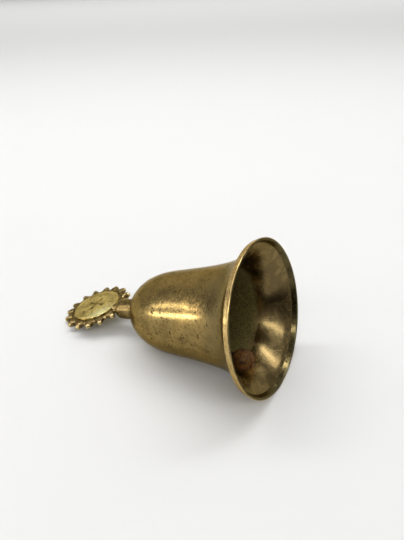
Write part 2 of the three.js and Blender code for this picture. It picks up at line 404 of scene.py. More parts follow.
def facedOutwards(piece):
    bm = bmesh.new()
    bm.from_mesh(piece.data)
    bmesh.ops.remove_doubles(bm, verts=bm.verts, dist=1e-7)
    bmesh.ops.recalc_face_normals(bm, faces=bm.faces)
    if bm.calc_volume(signed=True) < 0:
        bmesh.ops.reverse_faces(bm, faces=bm.faces)
    bm.to_mesh(piece.data)
    bm.free()
    return piece


def filleted(corners):
    # corners are (station, radius) or (station, radius, fillet) in millimetres; fillets become arcs
    steps = 5
    points = []
    for i, corner in enumerate(corners):
        here = Vector(corner[:2])
        fillet = corner[2] if len(corner) > 2 else 0
        if not fillet:
            points.append(here)
            continue
        before = Vector(corners[i - 1][:2])
        after = Vector(corners[(i + 1) % len(corners)][:2])
        back = (before - here).normalized()
        ahead = (after - here).normalized()
        halfAngle = acos(max(-1, min(1, back.dot(ahead)))) / 2
        if halfAngle > radians(88):  # so nearly straight that it needs no arc
            points.append(here)
            continue
        room = min((before - here).length, (after - here).length)
        reach = min(fillet / tan(halfAngle), 0.48 * room)  # two fillets share an edge
        radius = reach * tan(halfAngle)
        middle = here + (back + ahead).normalized() * (radius / sin(halfAngle))
        first = here + back * reach - middle
        last = here + ahead * reach - middle
        sweep = first.angle_signed(last)
        for step in range(steps + 1):
            angle = -sweep * step / steps
            x = first.x * cos(angle) - first.y * sin(angle)
            y = first.x * sin(angle) + first.y * cos(angle)
            points.append(middle + Vector((x, y)))
    return [(p.x, p.y) for p in points]


turned = turnedTree()
rayRing = rayRingTree()


def turnedPiece(
    name, outline, material, steps=192, unevenness=0.0, waveSize=10 * mm, seed=1.0, closed=True
):
    # outline is a list of (station, radius) in millimetres; stations run back along -X
    points = [(-station * mm, radius * mm, 0) for station, radius in outline]
    if closed:
        points.append(points[0])
    mesh = bpy.data.meshes.new(name)
    mesh.from_pydata(points, [(i, i + 1) for i in range(len(points) - 1)], [])
    piece = newObject(name, mesh)
    settings = {"Steps Round": steps, "Unevenness": unevenness, "Wave Size": waveSize}
    grown(piece, turned, {**settings, "Seed": seed, "Material": material})
    return smoothShaded(facedOutwards(coatedWith(piece, material)))


def solidTurning(name, corners, material, steps):
    # closed on the axis at both ends
    ends = (corners[0][0], 0), (corners[-1][0], 0)
    outline = filleted([ends[0], *corners, ends[1]])
    return turnedPiece(name, outline, material, steps, closed=False)


def storeValues(piece, name, values):
    attribute = piece.data.attributes.new(name, "FLOAT", "POINT")
    attribute.data.foreach_set("value", values)


def readVectors(points, name):
    values = np.empty(len(points) * 3)
    points.foreach_get(name, values)
    return values.reshape(-1, 3)


hollows = {
    "strength": 18,
    "spreads": 6,  # how many times the marks are blurred into their neighbours
    "spreadShare": 0.6,
    "darkeningEverywhere": 0.15,
    "wearAndSheenStrength": 0.8,
    "wearAndSheenStart": 0.25,
}


def markHollows(piece):
    # hollows are darkened (patina and painted shade), raised edges brightened (wear and a painted
    # highlight)
    mesh = piece.data
    count = len(mesh.vertices)
    points = readVectors(mesh.vertices, "co")
    normals = readVectors(mesh.vertices, "normal")
    edges = np.empty(len(mesh.edges) * 2, dtype=np.int64)
    mesh.edges.foreach_get("vertices", edges)
    first, second = edges.reshape(-1, 2).T
    way = points[second] - points[first]
    way /= np.maximum(np.linalg.norm(way, axis=1), 1e-9)[:, None]
    hollow = np.zeros(count)
    neighbours = np.zeros(count)
    np.add.at(hollow, first, np.sum(way * normals[first], axis=1))
    np.add.at(hollow, second, -np.sum(way * normals[second], axis=1))
    np.add.at(neighbours, first, 1)
    np.add.at(neighbours, second, 1)
    neighbours = np.maximum(neighbours, 1)
    hollow /= neighbours
    for _ in range(hollows["spreads"]):
        total = np.zeros(count)
        np.add.at(total, first, hollow[second])
        np.add.at(total, second, hollow[first])
        share = hollows["spreadShare"]
        hollow = (1 - share) * hollow + share * total / neighbours
    hollow *= hollows["strength"]
    storeValues(piece, "hollowDarkening", np.clip(hollow + hollows["darkeningEverywhere"], 0, 1))
    wearAndSheen = -hollow * hollows["wearAndSheenStrength"] - hollows["wearAndSheenStart"]
    storeValues(piece, "wearAndSheen", np.clip(wearAndSheen, 0, 1))


def weldedPiece(name, pieces, material, voxel):
    # melts loose pieces together as a casting or a forge weld does
    bm = bmesh.new()
    for part in pieces:
        bm.from_mesh(part.data)
        bpy.data.objects.remove(part)
    mesh = bpy.data.meshes.new(name)
    bm.to_mesh(mesh)
    bm.free()
    whole = newObject(name, mesh)
    remesh = whole.modifiers.new("remesh", "REMESH")
    remesh.mode = "VOXEL"
    remesh.voxel_size = voxel
    soften = whole.modifiers.new("soften", "SMOOTH")
    soften.factor = 0.5
    soften.iterations = 3
    settled(whole)
    whole.data.shade_smooth()
    return coatedWith(whole, material)


def finished(piece, matrix, body, slot, *nodes):
    piece.data.transform(matrix)
    piece.data.update()
    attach(piece, body)
    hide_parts(*nodes)
    print("made", piece.name, len(piece.data.polygons), "faces")


def ringPiece(name, radius, halfLength, halfWidth, material, steps=96, sides=24):
    # a ring of round or oval section about X, in millimetres
    outline = []
    for i in range(sides):
        angle = 2 * pi * i / sides
        outline.append((halfLength * sin(angle), radius + halfWidth * cos(angle)))
    return turnedPiece(name, outline, material, steps)


def tipped(piece, angle, axis):
    piece.data.transform(Matrix.Rotation(angle, 4, axis))


# camera

def directionAt(around, rise):
    # around turns from -Y towards +X, and rise goes up from the floor
    flat = cos(rise)
    return Vector((sin(around) * flat, -cos(around) * flat, sin(rise)))


view = {
    "azimuth": radians(29.67),
    "elevation": radians(33.3),
    "roll": radians(-2.457),
    "distance": 299.5 * mm,
    "target": Vector((-2.33, 48.49, 20)) * mm,
    "lens": 30.75,
}


def placeCamera():
    camera = newObject("camera", bpy.data.cameras.new("camera"))
    camera.data.lens = view["lens"]
    camera.data.sensor_width = 36
    camera.data.clip_start = 0.01
    camera.data.clip_end = 50
    back = directionAt(view["azimuth"], view["elevation"])
    right = (-back).cross(Vector((0, 0, 1))).normalized()
    up = right.cross(-back)
    rolledRight = right * cos(view["roll"]) + up * sin(view["roll"])
    rolledUp = up * cos(view["roll"]) - right * sin(view["roll"])
    camera.matrix_world = frameMatrix(view["target"] + back * view["distance"], rolledRight, rolledUp)
    bpy.context.scene.camera = camera


placeCamera()
print("camera placed")


# floor and lights

studio = {
    "floorSize": 30,
    "floorColour": (0.8, 0.81, 0.82),
    "floorShade": 0.985,  # how much darker its faint clouds are
    "ceiling": 1.2,  # height of the strip lights
    "stripDirection": radians(29.4),
    # offset, start, end, width and watts for each square metre of the lamps over plain surfaces
    "roomLamps": ((-0.93, -2.0, 1.9, 0.16, 22), (0.42, -1.2, 0.9, 0.2, 28), (3.0, -3.0, 4.0, 2.6, 2.4)),
    # the same for the long strips that show in polished metal
    "glossLamps": ((-0.93, -13.0, 3.6, 0.16, 48), (0.24, -6.4, 2.8, 0.16, 48), (1.8, 0.6, 2.6, 0.07, 48)),
    "lightColour": (1.0, 0.99, 0.975),
    "worldColour": (1.0, 0.985, 0.95),
    "worldStrength": 0.44,
    "backdrop": 0.86,
    "backWay": (-0.5, 0.87, -0.35),
    "frontGloss": 0.2,  # how bright reflections of the room are, in front and behind
    "backGloss": 0.75,
    "windowWay": (-0.82, -0.56, 0.1),  # a soft bright window low on the left
    "windowGloss": 0.6,
    # window panes seen only in polished metal: degrees round and up, width, height and watts
    "panes": ((-52, 4.5, 0.9, 0.36, 46), (-137, 26.7, 0.56, 0.42, 16)),
    "paneReach": 4.0,
    "clothNear": 0.2,  # a dark cloth stands on the viewer's side, seen only in reflections
    "clothFar": 0.7,
    "clothHeight": 0.48,
    "clothLean": 0.05,
    "clothSweep": (-8, 105),  # degrees round from -Y
    "cloth": ((0.012, 0.01, 0.009), (0.07, 0.055, 0.045)),
}


def plainSheet(name, points, faces, material):
    mesh = bpy.data.meshes.new(name)
    mesh.from_pydata(points, [], faces)
    mesh.materials.append(material)
    return newObject(name, mesh)


def layFloor():
    half = studio["floorSize"] / 2
    corners = [(-half, -half, 0), (half, -half, 0), (half, half, 0), (-half, half, 0)]
    material, tree, shader = newMaterial("palePaper")
    clouds = noise(tree, objectPlace(tree), 120 * mm, 2)
    pale = studio["floorColour"]
    colour = mixColour(tree, clouds, pale, tuple(part * studio["floorShade"] for part in pale))
    setInputs(tree, shader, {"Base Color": colour, "Roughness": 0.7, "Specular IOR Level": 0.25})
    plainSheet("floor", corners, [(0, 1, 2, 3)], material)


def flatLamp(name, length, width, glow):
    # glow is in watts for each square metre
    light = bpy.data.lights.new(name, "AREA")
    light.shape = "RECTANGLE"
    light.size = length
    light.size_y = width
    light.energy = glow * length * width
    light.color = studio["lightColour"]
    return newObject(name, light)


def hangLamps(use, height):
    turn = Matrix.Rotation(studio["stripDirection"], 4, "Z")
    for number, (offset, start, end, width, glow) in enumerate(studio[use + "Lamps"], 1):
        lamp = flatLamp(f"{use}Lamp{number}", end - start, width, glow)
        lamp.visible_glossy = use == "gloss"
        lamp.visible_diffuse = use == "room"
        lamp.matrix_world = turn @ Matrix.Translation(((start + end) / 2, offset, height))


def hangPanes():
    for number, (around, rise, width, height, glow) in enumerate(studio["panes"], 1):
        pane = flatLamp(f"windowPane{number}", width, height, glow)
        pane.visible_diffuse = False
        towards = directionAt(radians(around), radians(rise))
        turn = towards.to_track_quat("Z", "Y").to_matrix().to_4x4()
        pane.matrix_world = Matrix.Translation(towards * studio["paneReach"]) @ turn


def facing(tree, direction, way):
    inputs = {0: direction, 1: way}
    return addNode(tree, "ShaderNodeVectorMath", inputs, operation="DOT_PRODUCT").outputs["Value"]


def paintWorld():
    world = bpy.data.worlds.new("softRoom")
    bpy.context.scene.world = world
    world.use_nodes = True
    tree = world.node_tree
    tree.nodes.clear()
    ray = addNode(tree, "ShaderNodeLightPath").outputs
    direction = addNode(tree, "ShaderNodeTexCoord").outputs["Generated"]
    back = facing(tree, direction, studio["backWay"])
    gloss = remap(tree, back, 0.1, 0.75, studio["frontGloss"], studio["backGloss"])
    window = facing(tree, direction, studio["windowWay"])
    gloss = maths(tree, "ADD", gloss, remap(tree, window, 0.93, 1.0, 0, studio["windowGloss"]))
    strength = mixValue(tree, ray["Is Glossy Ray"], studio["worldStrength"], gloss)
    strength = mixValue(tree, ray["Is Camera Ray"], strength, studio["backdrop"])
    inputs = {"Color": opaque(studio["worldColour"]), "Strength": strength}
    background = addNode(tree, "ShaderNodeBackground", inputs)
    addNode(tree, "ShaderNodeOutputWorld", {0: background.outputs[0]})


def standCloth():
    centre = mouthCentre.xy
    rings = (
        (studio["clothNear"], 1 * mm),
        (studio["clothFar"], 1 * mm),
        (studio["clothFar"] + studio["clothLean"], studio["clothHeight"]),
    )
    steps = 16
    start, end = studio["clothSweep"]
    points = []
    for i in range(steps + 1):
        angle = radians(start + (end - start) * i / steps)
        for reach, height in rings:
            points.append((centre.x + sin(angle) * reach, centre.y - cos(angle) * reach, height))
    faces = []
    for i in range(steps):
        for j in range(2):
            first = i * 3 + j
            faces.append((first, first + 3, first + 4, first + 1))
    material, tree, shader = newMaterial("darkCloth")
    weave = remap(tree, noise(tree, objectPlace(tree), 90 * mm, 3), 0.35, 0.65)
    colour = mixColour(tree, weave, *studio["cloth"])
    setInputs(tree, shader, {"Base Color": colour, "Roughness": 0.9})
    cloth = plainSheet("darkCloth", points, faces, material)
    cloth.visible_camera = False
    cloth.visible_diffuse = False
    cloth.visible_shadow = False


layFloor()
standCloth()
hangLamps("room", studio["ceiling"])
hangLamps("gloss", studio["ceiling"] - 20 * mm)
hangPanes()
paintWorld()
bpy.context.scene.view_settings.view_transform = "Standard"
print("floor and lights placed")


# the bell itself, sizes in millimetres

bell = {
    "mouthRadius": 40,
    "height": 84,
    "wall": 2.5,
    "lipWidth": 2.9,
    "lipBackRadius": 39.2,
    "lipHollow": 0.1,
    "lipRoot": (2.2, 2.8),  # how much the metal swells behind the lip, and over what length
    "innerThrow": (3.1, 3.3),  # the same for the inner flare, which opens out to the bevel
    "endFaceInner": 38.5,
    "bevelDepth": 2.6,
    "lipMargin": 0.3,  # how far the lip's finishes run past its edges
    "waistRadius": 23.8,
    "waistStation": 50,
    "waistTaper": 0.09,
    "flareSize": 10.9,
    "flareLength": 10,
    "crownRadius": 5.5,
    "sharpness": 2.97,
    "fullness": 1.42,
    "bore": 2.1,
    "stepsRound": 320,
    "unevenness": 0.09 * mm,
    "waveSize": 11 * mm,
}

bellOutside = {
    "dark": (0.178, 0.124, 0.046),
    "middle": (0.27, 0.192, 0.07),
    "light": (0.375, 0.25, 0.086),
    "stain": (0.12, 0.074, 0.029),
    "speck": (0.045, 0.032, 0.016),
    # where each colour starts and is full in its pattern, and how strong it is there at each end
    "middleWhere": (0.3, 0.6),
    "lightWhere": (0.45, 0.72, 0, 0.75),
    "stainWhere": (0.5, 0.66, 0, 0.7),
    "speckEdge": (-0.05, 0.05, 1, 0),
    "wearWhere": (0.42, 0.6),
    "mottleSize": 5 * mm,
    "cloudSize": 20 * mm,
    "grainSize": 1.3 * mm,
    "wearSize": 0.4 * mm,
    "speckSize": 1.6 * mm,
    "speckCrowding": 2.6,
    "speckStart": 0.38,  # lower gives more pits
    "speckFull": 0.72,
    "speckReach": 0.42,
    "speckCover": 0.85,
    "speckDullness": 0.3,
    "wornPolish": 0.6,
    "edgeTint": (0.7, 0.62, 0.47),
    # a painted reflection greying the flare: the depths over which it fades out, and its strength at each
    "paintedReflectionBand": (16 * mm, 30 * mm, 0.6, 0),
    "paintedReflectionWander": 8 * mm,
    "paintedReflection": (0.15, 0.118, 0.058),
    "turningSize": 0.45 * mm,
    "turningStretch": (1, 0.06, 0.06),
    "roughness": (0.13, 0.32),
    "waveDepth": 0.022 * mm,
    "grainDepth": 0.005 * mm,
    "turningDepth": 0.002 * mm,
    "pitDepth": 0.06 * mm,
}

lipFinish = {
    **bellOutside,
    "paintedReflectionBand": None,
    "speckStart": 0.47,
    "dark": (0.3, 0.2, 0.075),
    "middle": (0.52, 0.372, 0.152),
    "light": (0.64, 0.478, 0.215),
    "stain": (0.33, 0.2, 0.075),
    "speckReach": 0.12,
    "roughness": (0.18, 0.36),
}

endFaceFinish = {
    **bellOutside,
    "paintedReflectionBand": None,
    "dark": (0.05, 0.044, 0.024),
    "middle": (0.092, 0.08, 0.042),
    "light": (0.125, 0.106, 0.052),
    "stain": (0.058, 0.049, 0.026),
    "roughness": (0.2, 0.42),
}

bevelFinish = {
    **endFaceFinish,
    "dark": (0.052, 0.041, 0.018),
    "middle": (0.09, 0.07, 0.03),
    "light": (0.12, 0.092, 0.038),
    "stain": (0.055, 0.043, 0.02),
    "roughness": (0.14, 0.3),
}

bellInside = {
    "edgeTint": (0.76, 0.66, 0.5),
    "polishEnd": 17 * mm,
    "sandStart": 21 * mm,
    "polishWhere": (0.38, 0.66),
    "sandWhere": (0.4, 0.62),
    "edgeSize": 5 * mm,
    "edgeWander": 2 * mm,
    "mottleSize": 7 * mm,
    "sandSize": 0.75 * mm,
    "polish": ((0.13, 0.094, 0.04), (0.215, 0.155, 0.066)),  # its dark and its light parts
    "sand": ((0.064, 0.051, 0.014), (0.18, 0.144, 0.041)),
    "sandMetal": 0.45,
    "chatterSize": 0.5 * mm,
    "chatterStretch": (1, 0.05, 0.05),
    "chatterDepth": 0.006 * mm,
    "polishRoughness": 0.27,
    "sandRoughness": 0.62,
    "sandDepth": 0.12 * mm,
    "waveDepth": 0.012 * mm,
}


def flareRadius(station):
    taper = bell["waistRadius"] + bell["waistTaper"] * (bell["waistStation"] - station)
    return taper + bell["flareSize"] * exp(-station / bell["flareLength"])


def nearLip(station, rise):
    height, length = rise
    return height * exp((bell["lipWidth"] - station) / length)


def outsideRadius(station):
    return flareRadius(station) + nearLip(station, bell["lipRoot"])


def insideRadius(station):
    return flareRadius(station) - bell["wall"] + nearLip(station, bell["innerThrow"])


def flareOutline(start, radiusAt, steps):
    points = []
    for i in range(steps + 1):
        station = start + (bell["waistStation"] - start) * (i / steps) ** 1.5
        points.append((station, radiusAt(station)))
    return points


def shoulderOutline(top, thickness, steps):
    points = []
    for i in range(1, steps + 1):
        angle = pi / 2 * i / steps
        rise = sin(angle) ** (2 / bell["sharpness"])
        reach = max(cos(angle), 0) ** (2 / bell["fullness"])
        station = bell["waistStation"] + (top - bell["waistStation"]) * rise
        waist = flareRadius(station) - thickness - bell["crownRadius"]
        points.append((station, bell["crownRadius"] + waist * reach))
    return points


def bellOutline():
    hollowStation = bell["lipWidth"] * 0.5
    hollowRadius = (bell["mouthRadius"] + bell["lipBackRadius"]) / 2 - bell["lipHollow"]
    bevelEnd = bell["bevelDepth"]
    rootStation = bell["lipWidth"] + 0.35
    crownInside = bell["height"] - bell["wall"]
    outside = flareOutline(bell["lipWidth"] + 1, outsideRadius, 70)
    inside = flareOutline(bevelEnd + 0.5, insideRadius, 70)
    lip = filleted([
        inside[0],
        (bevelEnd, insideRadius(bevelEnd), 0.2),
        (0.4, bell["endFaceInner"] - 0.1, 0.4),
        (0, bell["endFaceInner"] + 0.3, 0.3),
        (0, bell["mouthRadius"], 0.3),
        (hollowStation, hollowRadius, 1.2),
        (bell["lipWidth"], bell["lipBackRadius"], 0.3),
        (rootStation, outsideRadius(rootStation) + 0.1, 0.4),
        outside[0],
    ])
    outside += shoulderOutline(bell["height"], 0, 60)
    inside += shoulderOutline(crownInside, bell["wall"], 50)
    hole = [(bell["height"], bell["bore"]), (crownInside, bell["bore"])]
    return [*lip[:-1], *outside, *hole, *reversed(inside[1:])]


def zoneOf(face):
    # 0 skin, 1 lip band, 2 inside, 3 end face, 4 bevel
    station = -face.center.x / mm
    radius = hypot(face.center.y, face.center.z) / mm
    outwards = face.normal.y * face.center.y + face.normal.z * face.center.z > 0
    margin = bell["lipMargin"]
    onLip = station < bell["lipWidth"] + margin
    if onLip and radius > bell["mouthRadius"] - 0.45:
        return 1
    if onLip and outwards and station > margin and radius > bell["lipBackRadius"] - 1.2:
        return 1
    if not outwards and bell["bevelDepth"] < station < bell["height"] - 1:
        return 2
    if station < margin or (onLip and not outwards):
        return 3 if radius > bell["endFaceInner"] - 0.2 else 4
    return 0


def makeBell():
    skin = agedBrass("bellPatina", bellMatrix, bellOutside)
    zones = [
        agedBrass("lipBrass", bellMatrix, lipFinish),
        insideBrass("bellInside", bellMatrix, bellInside),
        agedBrass("endFaceBrass", bellMatrix, endFaceFinish),
        agedBrass("bevelBrass", bellMatrix, bevelFinish),
    ]
    body = turnedPiece(
        "bellBody", bellOutline(), skin, bell["stepsRound"], bell["unevenness"], bell["waveSize"], 4.0
    )
    for material in zones:
        body.data.materials.append(material)
    for face in body.data.polygons:
        face.material_index = zoneOf(face)
    finished(body, bellMatrix, "bell", "bell_brass", "bell_body")


makeBell()


# the collar between the bell and its handle

collar = {
    "foot": 84.3,
    "footRadius": 5.9,
    "shoulder": 0.9,  # above the foot
    "belly": 5.5,
    "radius": 6.1,
    "narrowing": 0.1,  # how much slimmer it is on both sides of its belly
    "top": 98.5,
    "topRadius": 3.9,
    "rounding": 3.6,
}

handleFinish = {
    **bellOutside,
    "paintedReflectionBand": None,
    "dark": (0.085, 0.06, 0.022),
    "middle": (0.16, 0.114, 0.044),
    "light": (0.29, 0.206, 0.078),
    "stain": (0.13, 0.072, 0.026),
    # raised edges: wear and a painted highlight; hollows: patina and painted shade
    "wearAndSheen": (0.86, 0.68, 0.34),
    "hollowDarkening": 0.9,
    "mottleSize": 3 * mm,
    "cloudSize": 12 * mm,
    "speckSize": 1.4 * mm,
    "speckReach": 0.34,
    "roughness": (0.2, 0.42),
    "waveDepth": 0.10 * mm,
    "pitDepth": 0.12 * mm,
}


def makeCollar(material):
    slimRadius = collar["radius"] - collar["narrowing"]
    outline = filleted([
        (collar["foot"], bell["bore"], 0.1),
        (collar["foot"], collar["footRadius"], 0.2),
        (collar["foot"] + collar["shoulder"], slimRadius, 0.8),
        (collar["foot"] + collar["belly"], collar["radius"], 6),
        (collar["top"] - collar["rounding"], slimRadius),
    ])
    steps = 12
    for i in range(steps + 1):
        angle = pi / 2 * i / steps
        station = collar["top"] - collar["rounding"] * (1 - sin(angle))
        swell = slimRadius - collar["topRadius"]
        outline.append((station, collar["topRadius"] + swell * cos(angle)))
    outline.append((collar["top"], bell["bore"]))
    piece = turnedPiece("neckCollar", outline, material, 128, 0.22 * mm, 4 * mm, 2.0)
    finished(piece, bellMatrix, "bell", "handle_brass", "neck_collar")


handleBrass = agedBrass("handleBrass", sunMatrix, handleFinish)
makeCollar(handleBrass)


# the sunburst handle

sun = {
    "radius": 21.6,
    "coreRadius": 16.2,
    "coreHalf": 0.8,
    "rimRadius": 16.2,
    "rimWidth": 1.9,
    "rimHalf": 1.35,
    "rimSides": 20,
    "stepsRound": 128,
    "coreLip": 0.6,  # how far the core runs out under the rim
    "raySunk": 2,
    "rayRoot": 3.5,
    "rayNeck": 2.1,
    "neckReach": 2.6,
    "rootFlatness": 0.5,
    "flatLength": 2.4,
    "rayTip": 1.8,
    "tipLength": 1.7,
    "rayChange": 0.1,
    "rayLean": radians(1.6),
    "raySeed": 5,
    "throatSunk": 1.5,
    "throatRadius": 3.0,
    "throatEnd": 18.4,
    "tangRadius": 1.8,
    "tangEnd": 27.3,
    "voxel": 0.2 * mm,
}


def makeRays(material):
    root = sun["coreRadius"] - sun["raySunk"]
    neck = sun["coreRadius"] + sun["neckReach"]
    rays = solidTurning("rays", [
        (-root, sun["rayRoot"], 0.3),
        (-(sun["coreRadius"] + sun["coreLip"]), sun["rayRoot"] - 0.2, 1.5),
        (-neck, sun["rayNeck"], 1.5),
        (-(sun["radius"] - sun["tipLength"]), sun["rayTip"], 1.2),
        (-(sun["radius"] - 0.5), sun["rayTip"] - 0.25, 1.1),
        (-sun["radius"], 0.5, 0.4),
    ], material, 32)
    for vertex in rays.data.vertices:
        inward = max(0, min(1, (neck - vertex.co.x / mm) / sun["flatLength"]))
        vertex.co.z *= 1 - (1 - sun["rootFlatness"]) * inward
    settings = {"Places": bellPlace["rayPlaces"], "Size Change": sun["rayChange"], "Lean": sun["rayLean"]}
    return grown(rays, rayRing, {**settings, "Seed": sun["raySeed"], "Material": material})


def makeSunburst(material):
    rays = makeRays(material)
    outer = sun["coreRadius"] + sun["coreLip"]
    corners = [(-sun["coreHalf"], outer, 0.6), (sun["coreHalf"], outer, 0.6)]
    core = solidTurning("core", corners, material, sun["stepsRound"])
    rimShape = (sun["rimRadius"], sun["rimHalf"], sun["rimWidth"])
    rim = ringPiece("rim", *rimShape, material, sun["stepsRound"], sun["rimSides"])
    for part in (core, rim):
        tipped(part, pi / 2, "Y")
    start = sun["coreRadius"] - sun["throatSunk"]
    throat = solidTurning("throat", [
        (-start, sun["throatRadius"], 0.5),
        (-sun["throatEnd"], sun["throatRadius"], 0.2),
        (-sun["throatEnd"], sun["tangRadius"], 0.3),
        (-sun["tangEnd"], sun["tangRadius"], 0.3),
    ], material, 48)
    piece = weldedPiece("sunburstCasting", [rays, core, rim, throat], material, sun["voxel"])
    markHollows(piece)
    finished(piece, sunMatrix, "bell", "handle_brass", "sunburst_casting")


makeSunburst(handleBrass)


# the engraved plates on both faces of the handle

plate = {
    "radius": 14.5,
    "bottom": 1.1,
    "edgeTop": 2.1,
    "edgeRounding": 0.75,
    "edgeBand": 0.85,
    "rimWidth": 1.5,
    "dish": 0.22,  # how far the face sinks inside its rim
    "dishSteepness": 3.5,
    "dome": 0.8,
    "rings": 84,
    "stepsRound": 288,
    "grooveDepth": 0.26,
    "grooveWidth": 0.52,
    "crossHalf": 4.6,
    "crossFoot": 0.9,
    "borderRadius": 12.0,
    "borderWidth": 0.8,
    "borderShare": 0.8,  # of the depth of the other grooves
    "dashRadius": 7.6,
    "dashLength": 1.6,
    "dashes": 8,
    # a painted highlight on one side of the plate: its way round, its spread, and where it starts and how
    # far it reaches
    "highlightWay": radians(-38),
    "highlightSpread": radians(30),
    "highlightStart": 7.5,
    "highlightReach": 3.5,
}

plateFinish = {
    **bellOutside,
    "paintedReflectionBand": None,
    "dark": (0.3, 0.224, 0.072),
    "middle": (0.63, 0.495, 0.17),
    "light": (0.82, 0.665, 0.25),
    "stain": (0.33, 0.24, 0.08),
    "speck": (0.07, 0.052, 0.022),
    # colour of the painted highlight on one side of the plate
    "wearAndSheen": (0.99, 0.92, 0.47),
    "hollowDarkening": 0.9,
    "speckReach": 0.16,
    "turningSize": 1.2 * mm,
    "roughness": (0.2, 0.4),
    "waveDepth": 0.05 * mm,
    "pitDepth": 0.05 * mm,
}


def strokeDistance(x, y, ends):
    start = Vector(ends[0])
    along = Vector(ends[1]) - start
    away = Vector((x, y)) - start
    share = max(0, min(1, away.dot(along) / along.length_squared))
    return (away - along * share).length


def engravedStrokes():
    # a plain cross with short dashes round it
    half, foot = plate["crossHalf"], plate["crossFoot"]
    strokes = [((-half, 0), (half, 0)), ((0, -half), (0, half))]
    for end in (-half, half):
        strokes.append(((end, -foot), (end, foot)))
        strokes.append(((-foot, end), (foot, end)))
    for i in range(plate["dashes"]):
        angle = 2 * pi * (i + 0.5) / plate["dashes"]
        direction = Vector((cos(angle), sin(angle)))
        outer = plate["dashRadius"] + plate["dashLength"]
        strokes.append((direction * plate["dashRadius"], direction * outer))
    return strokes


def grooveAt(x, y, strokes):
    nearest = min(strokeDistance(x, y, ends) for ends in strokes)
    fall = max(0, 1 - (nearest / plate["grooveWidth"]) ** 2)
    fromBorder = abs(hypot(x, y) - plate["borderRadius"])
    borderFall = plate["borderShare"] * max(0, 1 - (fromBorder / plate["borderWidth"]) ** 2)
    return -plate["grooveDepth"] * max(fall, borderFall)


def paintedHighlightAt(x, y):
    # a painted highlight: one side of the plate is brightened towards its edge
    away = atan2(y, x) - plate["highlightWay"]
    away = abs((away + pi) % (2 * pi) - pi)
    aside = exp(-((away / plate["highlightSpread"]) ** 2))
    outward = max(0, min(1, (hypot(x, y) - plate["highlightStart"]) / plate["highlightReach"]))
    return aside * outward


def plateOutline(flat, edge):
    # from the middle of the under side round the edge to the middle of the top
    outline = []
    for i in range(7):
        outline.append((0, flat * i / 6))
    outline += filleted([
        (0, flat),
        (0, plate["radius"], 0.2),
        (edge, plate["radius"], plate["edgeRounding"]),
        (edge, flat),
    ])[1:-1]
    rings = plate["rings"]
    for i in range(rings + 1):
        outline.append((edge, flat * (1 - i / rings)))
    return outline


def makePlate(name, node, side, material):
    edge = plate["edgeTop"] - plate["bottom"]
    outline = plateOutline(plate["radius"] - plate["edgeBand"], edge)
    piece = turnedPiece(name, outline, material, plate["stepsRound"], closed=False)
    tipped(piece, -pi / 2, "Y")
    strokes = engravedStrokes()
    faceRadius = plate["radius"] - plate["rimWidth"]
    bottom = min(v.co.z for v in piece.data.vertices)
    hollowDarkening = [0] * len(piece.data.vertices)
    wearAndSheen = hollowDarkening.copy()
    for vertex in piece.data.vertices:
        if vertex.co.z - bottom <= edge * mm * 0.5:
            continue
        x, y = vertex.co.x / mm, vertex.co.y / mm
        step = 1 / (1 + exp((hypot(x, y) - faceRadius) * plate["dishSteepness"]))
        share = max(0, 1 - (x * x + y * y) / faceRadius ** 2)
        groove = grooveAt(x, y, strokes)
        vertex.co.z += (plate["dome"] * share - plate["dish"] * step + groove) * mm
        # the grooves are darkened, and one side gets a painted highlight
        hollowDarkening[vertex.index] = min(1, -groove / plate["grooveDepth"])
        wearAndSheen[vertex.index] = paintedHighlightAt(x, y)
    storeValues(piece, "hollowDarkening", hollowDarkening)
    storeValues(piece, "wearAndSheen", wearAndSheen)
    piece.data.transform(Matrix.Translation((0, 0, plate["bottom"] * mm - bottom)))
    if side < 0:
        tipped(piece, pi, "X")
    smoothShaded(piece)
    finished(piece, sunMatrix, "bell", "plate_brass", node)


plateBrass = agedBrass("plateBrass", sunMatrix, plateFinish)
makePlate("frontPlate", "front_plate", 1, plateBrass)
makePlate("backPlate", "back_plate", -1, plateBrass)


# ironwork in the crown

ironwork = {
    "eyeRadius": 3.2,
    "eyeWire": 1.0,
    "shankRadius": 1.8,
    "shankTop": 89.6,
    "washerTop": 81.2,
    "washerRadius": 4.6,
    "washerThickness": 0.8,
    "nutTop": 80.1,
    "nutRadius": 4.2,
    "nutThickness": 2.6,
    "nutChamfer": 0.45,
    "voxel": 0.12 * mm,
}

darkIronLook = {
    "patchSize": 2.5 * mm,
    "grainSize": 0.5 * mm,
    "bare": 0.5,
    "bareEdge": 0.18,
    "crustWhere": (0.4, 0.65),
    "metal": (0.9, 0.15),  # of bare iron and of rust
    "gloss": 0.12,
    "iron": (0.09, 0.08, 0.068),
    "ironRoughness": 0.45,
    "rustRoughness": 0.85,
    "rust": ((0.06, 0.03, 0.014), (0.17, 0.075, 0.028)),  # its dark and its light parts
    "crustDepth": 0.08 * mm,
    "grainDepth": 0.03 * mm,
}


def makeEyebolt(material):
    eyeStation = bellPlace["hingeStation"] / mm + ironwork["eyeRadius"]
    eye = ringPiece("eye", ironwork["eyeRadius"], ironwork["eyeWire"], ironwork["eyeWire"], material)
    tipped(eye, pi / 2, "Y")
    eye.data.transform(Matrix.Translation((-eyeStation * mm, 0, 0)))
    shankFoot = eyeStation + ironwork["eyeRadius"] - 0.4
    shank = solidTurning("shank", [
        (shankFoot, ironwork["shankRadius"], 0.6),
        (ironwork["shankTop"], ironwork["shankRadius"], 0.3),
    ], material, 48)
    piece = weldedPiece("clapperEyebolt", [eye, shank], material, ironwork["voxel"])
    finished(piece, hangMatrix, "bell", "dark_iron", "clapper_eyebolt")


